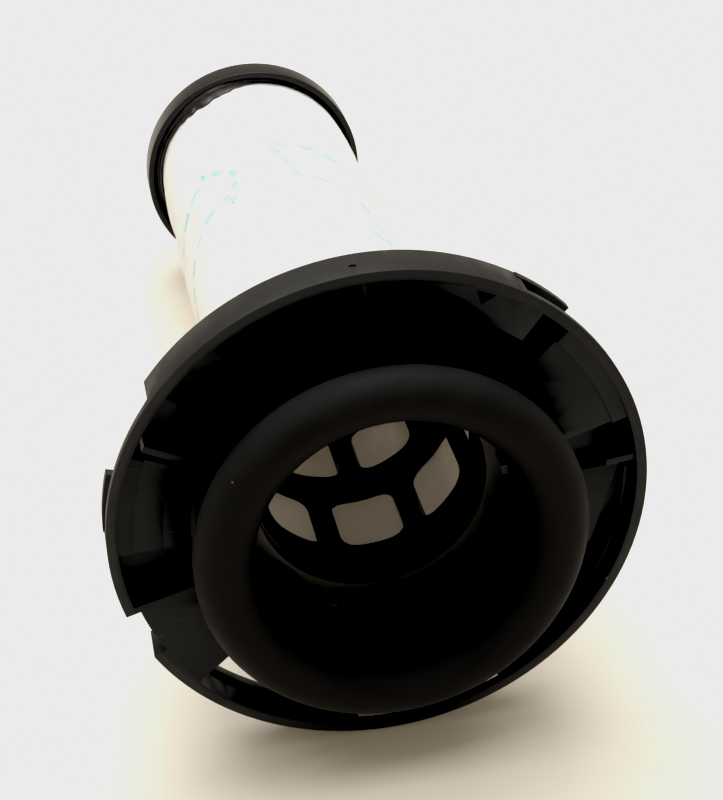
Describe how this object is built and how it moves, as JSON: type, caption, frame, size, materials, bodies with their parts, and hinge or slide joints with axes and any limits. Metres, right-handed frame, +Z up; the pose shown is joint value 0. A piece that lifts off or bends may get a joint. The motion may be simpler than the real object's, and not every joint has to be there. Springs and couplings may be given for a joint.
{
  "type": "cylindrical filter cartridge",
  "caption": "Cylindrical filter cartridge: black bayonet flange with a soft ring seal, windowed cage under a white fleece sleeve, and a closed end cap.",
  "frame": {"origin": "on the floor that the cartridge lies on, under the middle of its bounding box", "axes": "+Y from the seal end to the end cap, +Z up, +X to the right as seen from the seal end; the cartridge's own axis lies in the YZ plane, 8.26 degrees down towards the cap"},
  "size_m": [0.0902, 0.1672, 0.0898],
  "materials": {
    "flange_plastic": "glossy inside the dish, fine matte grain on the rim",
    "seal_rubber": "soft matte, slightly dusty",
    "ring_plastic": "satin",
    "cage_plastic": "satin",
    "fleece": "non-woven fleece",
    "print_ink": "pale blue ink",
    "clear_glue": "cured hot-melt",
    "dark_glue": "cured adhesive",
    "cap_plastic": "satin"
  },
  "bodies": {
    "cartridge": {"flange": "flange_plastic", "retaining_ring": "ring_plastic", "cage": "cage_plastic", "fleece_sleeve": "fleece", "front_glue_bead": "clear_glue", "rear_glue_bead": "dark_glue", "end_cap": "cap_plastic"},
    "seal": {"seal_ring": "seal_rubber"}
  },
  "joints": [
    {"name": "seal_squeeze", "type": "slide", "parent": "cartridge", "child": "seal", "axis": [0, 0.9896, -0.1437], "range_m": [0, 0.002], "stiffness_N_per_m": 1500}
  ]
}
